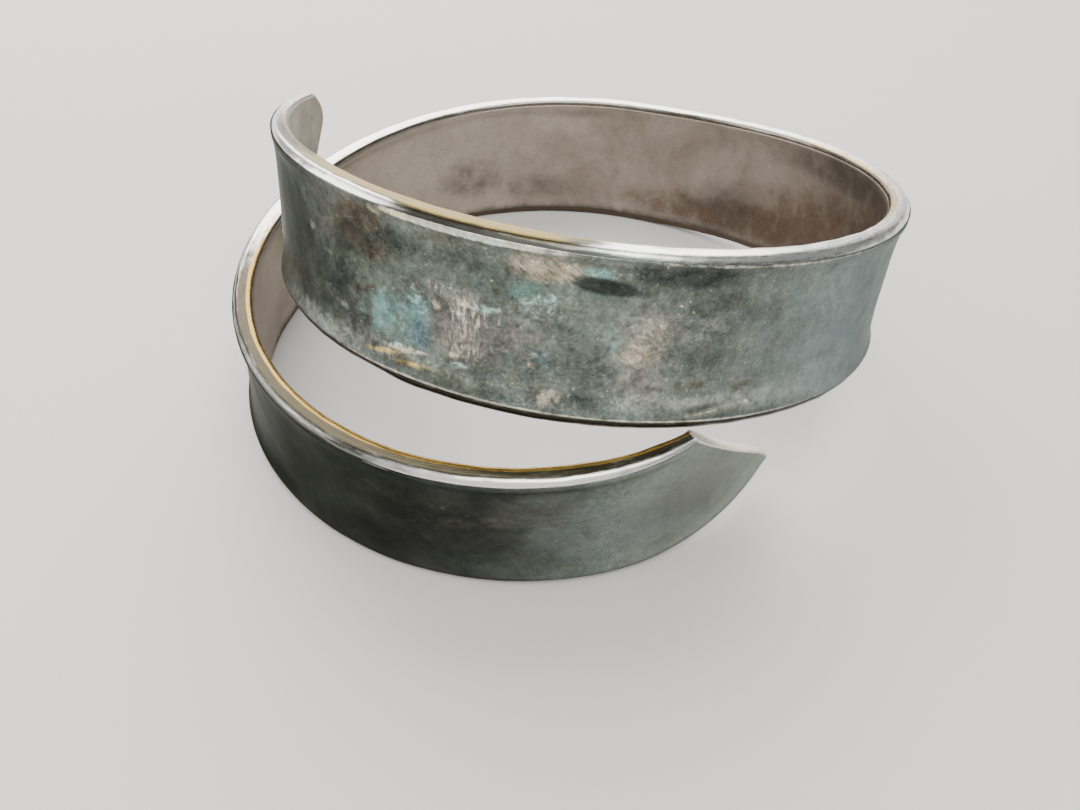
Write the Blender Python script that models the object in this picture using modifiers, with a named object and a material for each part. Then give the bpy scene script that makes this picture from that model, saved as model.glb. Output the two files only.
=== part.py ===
"""Wrap bangle: a strip of sheet silver coiled about one and a third turns round the wrist,
with a round silver wire soldered along each of its two long edges.

Metres, +Z up. The bangle lies on its lower coil. The origin is on the table, under the
middle of the bangle's box, and the lower end of the strip points to the front right.
A place on the band is given by its turn, the angle in degrees that the strip has wound
clockwise (seen from above) since the front right, and by its share, the fraction of the
way across from the lower wire's centre line (0) to the upper wire's (1).
"""

import math

import bpy
import numpy as np

MM = 0.001

# The coil, as the strip was bent by hand: the lower edge's radius and the strip's outward
# lean, stated at every STATION_STEP degrees of turn and smooth in between.
STATION_STEP = 60.0
EDGE_RADII = (29.0, 33.5, 33.5, 29.6, 28.9, 32.1, 30.4, 28.6, 27.2)
OUTWARD_LEANS = (2.0, 5.0, -9.0, -3.0, 5.0, 0.0, -6.0, -12.0, -5.0)
FIRST_HEADING = -54.5
PLAN_CENTRE = (-0.6 * MM, -2.3 * MM)

# The rise: the coil lies flat until RISE_FROM, then swings up like a tilted ring.
RISE_FROM = 235.0
RISE_SPAN = 186.0
RISE_HEIGHT = 18.5 * MM
RISE_SKEW = 0.55 * MM
SPRING_UNTIL = 30.0
SPRING_HEIGHT = 2.0 * MM

# The band: its width over both wires narrows evenly from the lower end to the upper one.
WIDTH_AT_START = 16.7 * MM
WIDTH_AT_END = 15.1 * MM
SHEET_THICKNESS = 1.2 * MM
WIRE_RADIUS = 1.0 * MM
SOLDER_GAP = 0.05 * MM

# The two ends are sheared on a curve: the lower end keeps a tip at its lower edge and the
# upper end one at its upper edge, whose corner is filed round.
START_TURN = -8.5
START_SHEAR = 20.0
END_TURN = 497.5
END_SHEAR = 13.0
SHEAR_POWER = 1.5
CORNER_FROM_SHARE = 0.84
CORNER_TURN = 3.2

# Mesh fineness.
WIRE_SIDES = 8
POINTS_ALONG = 112
ROWS_ACROSS = 7


def smooth_through(values, turn):
    """Natural cubic curve through values stated every STATION_STEP degrees, read at turn."""
    values = np.asarray(values)
    count = len(values)
    matrix = np.eye(count)
    right_side = np.zeros(count)
    for row in range(1, count - 1):
        matrix[row, row - 1:row + 2] = (1.0, 4.0, 1.0)
        right_side[row] = 6.0 * (values[row - 1] - 2.0 * values[row] + values[row + 1])
    bend = np.linalg.solve(matrix, right_side)
    place = np.asarray(turn) / STATION_STEP
    left = np.clip(np.floor(place).astype(int), 0, count - 2)
    after = place - left
    before = 1.0 - after
    return (before * values[left] + after * values[left + 1]
            + ((before ** 3 - before) * bend[left] + (after ** 3 - after) * bend[left + 1]) / 6.0)


def lower_edge_height(turn):
    """Height of the band's lower edge over the table: flat, then a raised cosine."""
    rise = np.clip((turn - RISE_FROM) / RISE_SPAN, 0.0, None)
    spring = np.clip((SPRING_UNTIL - turn) / SPRING_UNTIL, 0.0, None)
    return (RISE_HEIGHT * (1.0 - np.cos(np.pi * rise)) / 2.0
            + RISE_SKEW * (1.0 - np.cos(2.0 * np.pi * rise)) / 2.0
            + SPRING_HEIGHT * spring ** 2)


def lower_wire_line(turn):
    """Centre line of the lower wire, which lies on the table on one of its flat sides."""
    radius = smooth_through(EDGE_RADII, turn) * MM
    heading = np.radians(FIRST_HEADING - turn)
    flat_side = WIRE_RADIUS * math.cos(math.pi / WIRE_SIDES)
    return np.stack([radius * np.cos(heading) - PLAN_CENTRE[0],
                     radius * np.sin(heading) - PLAN_CENTRE[1],
                     lower_edge_height(turn) + flat_side], axis=-1)


def across_band(turn):
    """Unit vector from the lower wire to the upper wire, square to the strip's length."""
    step = 0.1
    along = lower_wire_line(turn + step) - lower_wire_line(turn - step)
    along /= np.linalg.norm(along, axis=-1, keepdims=True)
    outward = np.stack([-along[..., 1], along[..., 0], np.zeros_like(turn)], axis=-1)
    outward /= np.linalg.norm(outward, axis=-1, keepdims=True)
    upward = np.cross(outward, along)
    upward *= np.where(upward[..., 2:] < 0.0, -1.0, 1.0)
    lean = np.radians(smooth_through(OUTWARD_LEANS, turn))[..., None]
    return upward * np.cos(lean) + outward * np.sin(lean)


def wire_spacing(turn):
    """Distance between the two wires' centre lines."""
    wound = (turn - START_TURN) / (END_TURN - START_TURN)
    return WIDTH_AT_START + (WIDTH_AT_END - WIDTH_AT_START) * wound - 2.0 * WIRE_RADIUS


def band_point(turn, share):
    """Point on the band's middle surface."""
    turn = np.asarray(turn, dtype=float)
    reach = (wire_spacing(turn) * share)[..., None]
    return lower_wire_line(turn) + across_band(turn) * reach


def first_turn(share):
    """Turn at which the sheared lower end cuts the band, at a share of its width."""
    return START_TURN + START_SHEAR * share ** SHEAR_POWER


def last_turn(share):
    """Turn at which the sheared upper end with its filed corner cuts the band."""
    corner = np.clip((share - CORNER_FROM_SHARE) / (1.0 - CORNER_FROM_SHARE), 0.0, None)
    return END_TURN - END_SHEAR * (1.0 - share) ** SHEAR_POWER - CORNER_TURN * corner ** 2


def silver(name, colour, roughness):
    """Metal material of one colour."""
    material = bpy.data.materials.new(name)
    material.use_nodes = True
    shader = material.node_tree.nodes["Principled BSDF"]
    shader.inputs["Base Color"].default_value = (*colour, 1.0)
    shader.inputs["Metallic"].default_value = 1.0
    shader.inputs["Roughness"].default_value = roughness
    return material


def add_band_strip(collection, material):
    """The sheet strip between the wires: its middle surface, thickened both ways."""
    margin = (WIRE_RADIUS + SOLDER_GAP) / wire_spacing(np.array([START_TURN, END_TURN])).min()
    share = np.linspace(margin, 1.0 - margin, ROWS_ACROSS)[:, None]
    progress = np.linspace(0.0, 1.0, POINTS_ALONG)[None, :]
    turn = first_turn(share) + (last_turn(share) - first_turn(share)) * progress
    points = band_point(turn, np.broadcast_to(share, turn.shape)).reshape(-1, 3)
    corner = (np.arange(ROWS_ACROSS - 1)[:, None] * POINTS_ALONG
              + np.arange(POINTS_ALONG - 1)[None, :]).ravel()
    faces = np.stack([corner, corner + 1, corner + POINTS_ALONG + 1, corner + POINTS_ALONG],
                     axis=1)
    mesh = bpy.data.meshes.new("band_strip")
    mesh.from_pydata(points.tolist(), [], faces.tolist())
    mesh.materials.append(material)
    mesh.shade_smooth()
    strip = bpy.data.objects.new("band_strip", mesh)
    collection.objects.link(strip)
    sheet = strip.modifiers.new("sheet", "SOLIDIFY")
    sheet.thickness = SHEET_THICKNESS
    sheet.offset = 0.0
    sheet.use_even_offset = True
    return strip


def add_edge_wire(collection, name, share, material):
    """A round wire along one edge of the strip, drawn as a bevelled curve."""
    turn = np.linspace(first_turn(share), last_turn(share), POINTS_ALONG)
    line = band_point(turn, share)
    curve = bpy.data.curves.new(name, "CURVE")
    curve.dimensions = "3D"
    curve.twist_mode = "Z_UP"
    curve.bevel_depth = WIRE_RADIUS
    curve.bevel_resolution = (WIRE_SIDES - 4) // 2
    curve.use_fill_caps = True
    curve.materials.append(material)
    spline = curve.splines.new("POLY")
    spline.points.add(len(line) - 1)
    for point, place in zip(spline.points, line):
        point.co = (*place, 1.0)
        point.tilt = math.pi / WIRE_SIDES
    spline.use_smooth = True
    wire = bpy.data.objects.new(name, curve)
    collection.objects.link(wire)
    return wire


def build():
    """Clear the scene and make the bangle's three pieces."""
    for item in list(bpy.data.objects):
        bpy.data.objects.remove(item, do_unlink=True)
    collection = bpy.data.collections.new("wrap_bangle")
    bpy.context.scene.collection.children.link(collection)
    tarnished = silver("tarnished_sheet_silver", (0.10, 0.115, 0.105), 0.45)
    worn = silver("worn_silver_wire", (0.62, 0.58, 0.50), 0.30)
    add_band_strip(collection, tarnished)
    add_edge_wire(collection, "lower_edge_wire", 0.0, worn)
    add_edge_wire(collection, "upper_edge_wire", 1.0, worn)


build()
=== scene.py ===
"""Wrap bangle in hammered, tarnished silver: the looks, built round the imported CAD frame.

Everything is in metres. A place on the band is its turn, the angle in degrees that the
strip has wound clockwise (seen from above) since the front right; its share, the fraction
of the way from the lower wire's centre line (0) to the upper wire's (1); and its depth,
the distance outwards from the sheet's middle.
"""

import math

from collections import namedtuple
from functools import partial

import bmesh
import bpy
import numpy as np
from bpy.props import FloatProperty, FloatVectorProperty, PointerProperty
from bpy.types import Operator, Panel, PropertyGroup
from mathutils import Matrix, Vector


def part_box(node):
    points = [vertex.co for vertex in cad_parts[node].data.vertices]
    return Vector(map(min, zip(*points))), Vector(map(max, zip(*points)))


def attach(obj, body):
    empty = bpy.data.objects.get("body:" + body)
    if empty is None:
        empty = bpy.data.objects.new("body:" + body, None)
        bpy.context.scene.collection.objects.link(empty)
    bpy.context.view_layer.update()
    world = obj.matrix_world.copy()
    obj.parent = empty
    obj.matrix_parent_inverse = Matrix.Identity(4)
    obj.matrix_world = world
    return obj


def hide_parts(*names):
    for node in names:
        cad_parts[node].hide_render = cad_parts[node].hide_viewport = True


bl_info = {
    "name": "Wrap Bangle",
    "version": (1, 0, 0),
    "blender": (4, 5, 0),
    "location": "3D View > Sidebar > Bangle",
    "description": "A coiled bangle of tarnished sheet silver with a wire along each edge",
    "category": "Add Mesh",
}

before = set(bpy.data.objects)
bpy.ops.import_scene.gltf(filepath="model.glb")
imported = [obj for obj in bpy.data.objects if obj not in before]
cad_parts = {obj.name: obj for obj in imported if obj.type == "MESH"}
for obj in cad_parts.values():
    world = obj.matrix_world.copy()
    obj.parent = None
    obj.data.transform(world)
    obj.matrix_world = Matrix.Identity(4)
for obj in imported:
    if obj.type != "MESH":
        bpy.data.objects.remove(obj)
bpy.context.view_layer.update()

MM = 0.001
STATION_STEP = 60.0
FRAME_SLACK = 0.35 * MM

# Ends and edges: exponents of the two shears, the share above which the upper corner is
# filed, how far and how squarely an end is rounded, and how far the sheet laps past the
# wires' centre lines, which its outer face gives up at the foot over FOOT_STOPS.
START_SHEAR_POWER = 1.3
END_SHEAR_POWER = 1.5
CORNER_FROM = 0.78
END_ROUNDING = 0.22 * MM
END_SQUARENESS = 0.45
FOOT_LAP = 0.022
TOP_LAP = 0.024
FOOT_STOPS = ((20, 0), (50, 1))
CROWN_HEIGHT = 0.924
FACET_SHARPNESS = 9.0
MEAN_RADIUS = 30.5 * MM
LENGTH_STEPS = 2000

# The sheet's thickness: how much and how far it is beaten up at the sawn end, the width of
# the bright cut, and how high, from where and how widely the solder swells to each wire.
BEATEN_SWELL = 0.20 * MM
BEATEN_REACH = 1.1 * MM
CUT_WIDTH = 0.30 * MM
FILLET_TOP = 0.985 * MM
FILLET_FROM = 0.15 * MM
OUTER_FILLET = 0.90 * MM
INNER_FILLET = 0.55 * MM

# Hand work: spacing, spread, depth and seed of the hammer blows on the sheet, coarse and
# fine, and on the wires (whose seeds follow WIRE_SEED); then the dish and the ripple.
FACE_BLOWS = (2.6 * MM, 1.5 * MM, 0.05 * MM, 11)
FINE_BLOWS = (1.1 * MM, 0.5 * MM, 0.010 * MM, 12)
WIRE_BLOWS = (2.1 * MM, 1.2 * MM, 0.035 * MM)
WIRE_SEED = 21
RIPPLE_SEED = 5
DISH_DEPTH = 0.08 * MM
RIPPLE_DEPTH = 0.06 * MM
RIPPLE_LENGTH = 26.0 * MM

# Added to the inner face's strip coordinate, so that the two faces' patterns differ.
FACE_SHIFT = 40.0 * MM

# Mesh fineness.
OUTER_COLUMNS = 60
INNER_COLUMNS = OUTER_COLUMNS // 2
SHEET_ROWS = 980
WIRE_COLUMNS = 56
WIRE_ROWS = 1180
END_ROWS = 8

# Dents in the outer face, as rows of (turn, share, length along in mm, height across in mm,
# slope in degrees, depth in mm). A slope above zero rises towards the lower turns.
DENTS = (
    (393.5, 0.83, 4.6, 1.3, -6, 0.2),
    (407, 0.19, 2.6, 0.8, 20, 0.12),
    (404, 0.12, 2, 0.6, 15, 0.08),
    (443, 0.66, 2, 1.6, 0, 0.06),
    (434.6, 0.28, 2, 1.6, 0, 0.06),
    (381.5, 0.78, 1.8, 0.4, 10, 0.06),
    (374.5, 0.07, 4, 0.7, 8, -0.14),
    (367, 0.11, 1.8, 0.6, -35, -0.1),
    (430, 0.52, 4, 3, 0, 0.05),
    (60.5, 0.97, 4, 1.6, 0, 0.16),
    (42, 0.5, 2.5, 2, 0, 0.05),
)

# A film is a tint laid over the tarnish. Its rows say where, as in DENTS, with a strength
# for the depth; its cloud and ragged say how a noise breaks it up; it covers from none at
# low to most at high.
Film = namedtuple("Film", "name side cloud ragged low high most rows")
FILMS = (
    Film("olive", 1, "patchy", 3, 0.1, 1.2, 0.6, (
        (432, 0.6, 6.5, 2.8, 0, 0.8), (412.5, 0.075, 8.5, 1.7, 0, 1.1),
        (396.5, 0.66, 5, 2.4, 0, 0.8), (400, 0.9, 7.5, 2.4, 0, 0.8),
        (375, 0.1, 6, 1.6, 0, 0.8))),
    Film("green", 1, "broad", 1.6, 0.1, 1.1, 0.6, (
        (397, 0.62, 12, 7, 0, 1.1), (415, 0.8, 16, 5, 0, 1), (427, 0.55, 10, 8, 0, 0.9),
        (404, 0.35, 14, 7, 0, 0.6), (380, 0.85, 12, 4, 0, 1), (376, 0.4, 10, 8, 0, 0.7),
        (45, 0.15, 14, 5, 0, 0.4))),
    Film("brown", 1, "second", 3.2, 0.15, 1.3, 0.75, (
        (430.6, 0.85, 7, 4, -8, 1.1), (433.5, 0.71, 6, 2.2, 0, 0.6),
        (426.5, 0.72, 4, 1.8, 20, 0.7), (428.6, 0.46, 1.5, 0.9, 15, 1.3),
        (431.5, 0.44, 1.4, 0.8, 10, 1), (422, 0.09, 2.6, 1.2, 0, 1.2),
        (377.7, 0.245, 3.2, 0.9, -3, 1.1), (369, 0.21, 2.2, 1.1, 0, 1),
        (373.5, 0.78, 4.5, 3, 0, 0.6), (416, 0.93, 6, 1.2, 0, 0.7),
        (402, 0.89, 5.6, 2.2, 0, 0.7), (44, 0.7, 8, 5, 0, 0.3))),
    Film("teal", 1, "patchy", 5.4, 0.3, 1.5, 0.7, (
        (424.3, 0.34, 8, 4.8, 6, 1.1), (419.4, 0.5, 2.6, 2.2, 0, 1),
        (412.7, 0.51, 2.2, 1, 0, 1.1), (409, 0.585, 3, 0.6, 5, 1.4),
        (415.4, 0.615, 2, 1, 0, 0.9), (412.3, 0.17, 2.4, 1, 0, 0.9),
        (402.6, 0.68, 3.6, 2.8, 0, 0.9), (401.5, 0.4, 2.6, 1, 0, 0.9),
        (393.3, 0.92, 3.6, 1.1, 0, 1.2), (390.5, 0.5, 2, 3.4, 0, 0.7),
        (386.5, 0.28, 2.4, 1.4, 0, 0.6), (407, 0.75, 7, 2.8, 0, 0.6))),
    Film("deep_blue", 1, "third", 3, 0.2, 1.3, 0.55, (
        (419, 0.32, 1.9, 4.4, 0, 1.1), (405, 0.29, 1.5, 2, 0, 0.8),
        (399.5, 0.35, 2.2, 1.4, 25, 0.7), (371, 0.37, 2.4, 1.8, 0, 0.5))),
    Film("dark", 1, "third", 2.2, 0.2, 1.2, 0.8, (
        (393.4, 0.845, 4.5, 1.2, -6, 2.2), (382, 0.96, 10.5, 2.2, 0, 0.9),
        (393, 0.36, 5, 6, 0, 0.8), (418, 0.84, 11, 2.4, 0, 0.8), (378, 0.42, 5, 3.4, 0, 0.5),
        (430, 0.7, 8, 9, 0, 0.7), (437, 0.45, 7, 8, 0, 0.6), (385, 0.88, 7, 3, 0, 0.55),
        (394, 0.1, 5, 2, 0, 0.7), (399, 0.52, 4, 3, 0, 0.5))),
    Film("mauve", 1, "fine", 2.4, 0.05, 1.2, 0.7, (
        (412.3, 0.42, 6.4, 6.4, 0, 1), (402.5, 0.45, 5, 3.4, 0, 0.7),
        (386, 0.52, 5.4, 6.8, -15, 0.8), (386, 0.2, 6, 3.6, 0, 0.6),
        (400.6, 0.91, 5.4, 2.4, 0, 0.7), (50.5, 0.58, 3, 2, 0, 0.35),
        (44, 0.62, 3.2, 2.2, 0, 0.45), (14, 0.45, 18, 12, 0, 0.75),
        (62, 0.75, 2, 1.4, 0, 0.25), (54, 0.35, 3, 1.2, 0, 0.25))),
    Film("scuffed", 1, "strokes", 4.6, 0.55, 1.5, 0.9, (
        (412.3, 0.6, 5, 2.6, 0, 0.8), (411.8, 0.33, 4.8, 4.8, 0, 0.85),
        (418.5, 0.64, 3, 2, 0, 0.55), (404, 0.5, 4.4, 3.4, 0, 0.55),
        (402.5, 0.3, 3.6, 2.4, 0, 0.55), (46, 0.6, 2.6, 1, 0, 0.45),
        (34, 0.66, 3.4, 1.6, 10, 0.5))),
    Film("glints", 1, "strokes", 6, 1.15, 1.9, 0.75, (
        (412.3, 0.55, 5.4, 3, 0, 0.95), (411.8, 0.33, 4.4, 5, 0, 0.95),
        (404.5, 0.5, 4.6, 3.2, 0, 0.7), (402.5, 0.27, 3.6, 2.6, 0, 0.75),
        (418, 0.66, 3, 2.4, 0, 0.75), (386, 0.55, 5, 5.4, 0, 0.75), (46, 0.6, 2.6, 1, 0, 0.7),
        (34, 0.66, 3.4, 1.6, 10, 0.8))),
    Film("scraped", 1, "slants", 4.2, 0.4, 1.4, 0.85, (
        (401.5, 0.9, 6.4, 2.8, 0, 1.15), (385.8, 0.56, 5.2, 6, -20, 0.68),
        (387, 0.42, 3.6, 2.2, 0, 0.6), (427, 0.985, 1.8, 0.9, 0, 1),
        (374.5, 0.11, 5.5, 1.2, 4, 0.55))),
    Film("seam", 1, "fine", 2.2, 0.3, 1.1, 0.9, (
        (413, 1.01, 14, 0.6, 0, 2), (418, 0.004, 20, 0.34, 0, 1.1),
        (395, 0.004, 30, 0.34, 0, 1), (362, 0.004, 26, 0.3, 0, 0.7),
        (365, 1.018, 30, 0.4, 0, 0.8))),
    Film("gold", 1, "fine", 2.6, 0.25, 1.1, 0.95, (
        (426, 0.1, 4.4, 0.5, 12, 1.1), (419, 0.09, 6, 0.6, 6, 0.7),
        (423.5, 1.005, 4, 0.4, 0, 0.7))),
    Film("pale", 1, "fine", 2.6, 0.2, 1.3, 0.55, (
        (443, 0.08, 12, 1.8, 0, 0.8), (352, 0.16, 16, 4.5, 0, 0.9),
        (375, 0.11, 5.5, 1.3, 0, 0.9), (383, 0.13, 5, 2.4, 0, 0.5),
        (443.1, 0.66, 1.3, 0.9, 0, 0.9), (434.6, 0.275, 1.1, 0.8, 0, 0.9),
        (370.5, 0.52, 2.4, 1.4, 0, 0.6), (438, 0.57, 0.9, 0.6, 0, 0.6),
        (412, 0.62, 5, 3, 0, 0.5), (403, 0.62, 5, 3, 0, 0.9), (378, 0.62, 4, 4, 0, 0.6),
        (368, 0.12, 8, 2, 0, 0.6), (384, 0.12, 8, 2.6, 0, 0.5), (428, 0.13, 8, 2.4, 0, 0.7),
        (413, 0.11, 7, 2, 0, 0.9))),
    Film("steel", 1, "broad", 1.2, 0.1, 1.2, 0.75, (
        (345, 0.5, 28, 24, 0, 1), (322, 0.5, 24, 22, 0, 0.7), (20, 0.4, 20, 14, 0, 0.55))),
    Film("cyan", 1, "fine", 5, 0.75, 1.6, 0.85, (
        (419.5, 0.53, 3.4, 3, 0, 0.9), (409, 0.585, 3.4, 0.7, 5, 1.3),
        (412.7, 0.51, 3.2, 1.6, 0, 0.9), (401.8, 0.67, 5.6, 3.2, 0, 0.9),
        (412.3, 0.17, 2.6, 1.2, 0, 1), (401.5, 0.38, 3, 1.2, 0, 0.9),
        (424, 0.32, 8, 4, 0, 0.4), (415.5, 0.66, 3, 1.4, 0, 0.8),
        (393.3, 0.92, 3.6, 1.1, 0, 0.8), (422.5, 0.175, 5, 0.5, 8, 1.1),
        (371, 0.4, 5, 3, 0, 0.4), (411.5, 1, 8, 0.5, 0, 1.4))),
    Film("cream", 1, "fine", 3, 0.4, 1.2, 0.95, (
        (421.2, 0.165, 4.4, 0.5, 8, 1.3), (412.2, 0.577, 2, 0.5, 0, 1.2),
        (416.7, 0.52, 0.9, 1.1, 0, 1.1), (413.2, 0.236, 1, 0.8, 0, 1.2),
        (398.4, 0.098, 2.4, 1.9, 0, 0.95), (401.3, 0.295, 0.9, 0.8, 0, 1.1),
        (386.8, 0.41, 1.6, 0.9, 15, 0.8), (384, 0.635, 0.9, 0.8, 0, 0.8),
        (381.5, 0.775, 1.4, 0.22, 15, 1.3), (374.5, 0.055, 3.8, 0.3, 8, 1.2),
        (367, 0.1, 1.3, 0.3, -35, 1.2), (403.8, 0.14, 1.2, 0.3, 30, 1),
        (380, 0.72, 0.7, 0.25, -50, 1.4), (399, 0.94, 1.2, 0.6, 0, 0.9),
        (402.5, 0.93, 0.9, 0.6, 0, 0.9), (47, 0.62, 0.8, 0.5, 0, 0.8),
        (44, 0.35, 0.5, 0.4, 0, 0.8), (52, 0.72, 0.3, 0.9, 0, 0.8),
        (41.5, 0.28, 1, 0.6, 0, 0.6), (50, 0.14, 0.8, 0.5, 0, 0.6),
        (66, 0.8, 0.5, 0.4, 0, 0.6), (38, 0.55, 0.6, 0.4, 0, 0.9))),
    Film("ash", -1, "broad", 0.8, 0, 1, 0.9, (
        (488, 0.62, 26, 20, 0, 1.3),)),
    Film("umber", -1, "patchy", 2.6, 0.1, 1.3, 0.8, (
        (297, 0.35, 30, 11, 0, 1.1), (258, 0.16, 30, 5, 0, 1), (318, 0.6, 14, 12, 0, 0.9))),
    # Dark film in its upper rows; the long rows at share -0.06 along the inside's foot are
    # painted shade.
    Film("dark_film_and_shade", -1, "second", 2.6, 0.1, 1.4, 0.7, (
        (301, 0.9, 26, 4, 0, 1.2), (191, 0.37, 10, 6, 0, 0.9), (262, 0.3, 14, 6, 0, 0.8),
        (210, 0.2, 16, 4, 0, 0.7), (222, 0.94, 14, 1.6, 0, 0.6), (240, -0.06, 120, 3, 0, 1.3),
        (150, -0.06, 60, 2.6, 0, 1))),
)

# Stops of (turn, value), joined by straight runs: how far the outer tarnish is worn, a value
# that also paints the outer faces' reflected light and shade, near black on the first coil
# and paler on the upper; how mottled the face is, how light the inside is; on the wires,
# how khaki, gilt and bright they are, how far out the bevel stands and how rubbed its
# corner is; and their tapers. The high bright stops and the khaki stops below zero also
# paint in highlights on the wires.
WORN_AND_REFLECTION_STOPS = (
    (-9, 1.6), (10, 1.6), (22, 1.4), (33, 0.56), (48, 0.27), (65, 0.16), (95, 0.02), (110, 0),
    (150, 0.1), (240, 0.4), (320, 0.7), (345, 0.8), (358, 0.62), (368, 0.5), (386, 0.54),
    (403, 0.58), (412, 0.56), (422, 0.48), (430, 0.36), (440, 0.32), (450, 0.28), (500, 0.24))
MOTTLE_STOPS = (
    (-9, 0.35), (30, 0.45), (50, 0.4), (62, 0.25), (110, 0.2), (150, 0.3), (330, 0.4),
    (350, 0.4), (368, 0.6), (378, 1), (432, 1), (445, 0.7), (500, 0.4))
INNER_STOPS = (
    (175, 1), (195, 0.85), (215, 0.55), (255, 0.45), (275, 0.5), (300, 0.3), (340, 0.2),
    (450, 0.8), (470, 1.5))
# Below zero the crowns, on the back and front right, are whiter than bare khaki: partly a
# painted highlight.
KHAKI_STOPS = (
    (0, 0.6), (20, 0.8), (60, 1), (105, 1), (140, -0.3), (290, -0.3), (310, 0.25), (326, 0),
    (340, -0.4), (390, -0.3), (402, 1.9), (426, 1.9), (440, 1.6), (468, 0.6), (480, 0.05))
GILT_STOPS = (
    (0, 1), (110, 0.9), (135, 0.45), (270, 0.4), (300, 0.75), (330, 0.7), (345, 0.35),
    (385, 0.4), (400, 0.9), (430, 0.9), (450, 0.5), (500, 0.35))
# Where these stops are high the bevel is painted silver: partly rubbing, partly a painted
# highlight.
BRIGHT_STOPS = (
    (0, 0.95), (56, 0.9), (64, 0.42), (105, 0.4), (125, 0.8), (320, 0.85), (340, 0.8),
    (390, 0.85), (400, 0.2), (420, 0.15), (429, 1), (500, 0.9))
BEVEL_STOPS = (
    (12, 1.06), (30, 0.98), (57, 0.97), (60, 1.06), (110, 1.06), (330, 1), (350, 1.02),
    (390, 1.04), (400, 1.08), (423, 1.08), (427, 0.95), (470, 0.94), (498, 1.05))
CORNER_STOPS = (
    (-9, 0.3), (30, 0.1), (110, 0.1), (300, 0.3), (335, 0.8), (430, 1), (460, 0.6))
LOWER_TAPER_STOPS = (
    (-9, 0.66), (6, 0.85), (22, 1), (440, 1), (470, 0.85), (498, 0.62))
UPPER_TAPER_STOPS = (
    (11, 0.62), (19, 0.84), (32, 1), (445, 1), (468, 0.78), (480, 0.66), (498, 0.58))

# Tints that cover a face or a wire, from the bottom up. Each says what drives it, its
# cloud and ragged as in a film, where it covers from none to most, its colour and its most.
# The first rows lay the outer face's light and dark, which is partly tarnish wear and partly
# painted reflection.
OUTSIDE_TINTS = (
    ("worn_and_reflection", "broad", 0.5, 0, 1, "tarnish", 1),
    ("worn_and_reflection", "broad", 0.5, 0.8, 1.7, "pale", 1),
    ("worn_and_reflection", "second", 1.6, 0.4, 0.9, "olive", 0.28),
    ("worn_and_reflection", "third", 1.6, 0.4, 0.9, "teal", 0.2),
    ("everywhere", "patchy", 1, -0.02, 0.2, "deep_tarnish", 0.2),
    ("worn_and_reflection", "grain", 3, 0.6, 1.3, "pale", 0.3))
INSIDE_TINTS = (
    ("inner_light", "broad", 0.8, 0.1, 1, "inner_light", 1),
    ("everywhere", "patchy", 1, -0.05, 0.25, "umber", 0.28),
    ("everywhere", "fine", 1, -0.05, 0.25, "umber", 0.22),
    ("everywhere", "second", 1, 0, 0.25, "pale", 0.25))
DENT_TINTS = (("dent", "fine", 0.05, 0.05, 0.16, "dark", 0.7),)
LAST_TINTS = (
    ("from_middle", "fine", 0.06, 0.47, 0.53, "deep_tarnish", 0.2),
    ("scratch", "fine", 0.5, 0.4, 1, "pale", 0.18),
    ("mottle", "grain", 1, 1.18, 1.24, "cut_silver", 0.7),
    ("cut", "fine", 0.6, 0.2, 0.7, "cut_silver", 1))
WIRE_TINTS = (
    ("upper", "streaks", 0.3, 0.4, 0.6, "tarnish", 1),
    ("khaki", "fine", 1.2, 0.4, 1, "brown", 0.35),
    ("crown", "streaks", 0.3, 0.3, 0.7, "silver", 1),
    ("everywhere", "streaks", 1, 0.06, 0.3, "dull_silver", 0.3),
    ("hazy", "streaks", 1.3, 0.05, 0.8, "deep_khaki", 0.97),
    ("hazy", "streaks", 1.3, 0.95, 1.6, "khaki", 0.95),
    # The shiny row paints the bevel silver by the bright stops: partly rubbed silver, partly a
    # painted highlight.
    ("shiny", "streaks", 0.8, 0.25, 0.7, "silver", 1),
    ("dull", "fine", 1, 0.15, 0.8, "dull_silver", 0.8),
    ("gold_line", "streaks", 1.2, 0.25, 0.8, "golden", 0.9),
    # The lower wire is darkened all over: partly tarnish, partly painted shade where it faces
    # the floor.
    ("lower", "streaks", 0.3, 0.4, 0.6, "deep_tarnish", 0.75),
    ("inner", "streaks", 0.4, 0.35, 0.75, "inner_warm", 1),
    # Painted shade: the lower wire's inner side goes umber to merge with the painted shade at
    # the inside's foot.
    ("lower_inner", "streaks", 0.4, 0.25, 0.65, "umber", 0.9),
    ("rubbed_corner", "streaks", 0.5, 0.12, 0.35, "dull_silver", 0.7),
    ("cut", "fine", 0.6, 0.2, 0.7, "cut_silver", 1))

# What drives a tint of a wire, as a product of the attributes that follow its name.
WIRE_PRODUCTS = (
    ("shiny", "bevel", "bright"),
    ("lower_inner", "inner", "lower"),
    ("gold_line", "inner_corner", "top", "gilt", "upper"),
    ("rubbed_corner", "flank", "corner", "lower", "under"))

# Noises by name, with their size in mm, detail and roughness; then the stretched ones, with
# their slope in degrees, stretch and size in mm. Real scratches are a few hundredths of a
# millimetre wide: the strokes and slants are drawn coarser, so that they show.
CLOUDS = (("broad", 9, 5, 0.6), ("patchy", 2.4, 6, 0.68), ("fine", 0.8, 5, 0.7),
          ("grain", 0.3, 3, 0.7))
RUBBING = (("strokes", 86, 4, 0.26), ("slants", 40, 3.4, 0.28))

# Mottling of the sheet: a cloud, the span of it that counts, and the darkest and lightest
# that it makes the colour.
TONES = (("grain", 0.3, 0.7, 0.78, 1.28), ("fine", 0.32, 0.68, 0.68, 1.38),
         ("patchy", 0.34, 0.66, 0.7, 1.35), ("broad", 0.35, 0.65, 0.74, 1.28))

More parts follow.
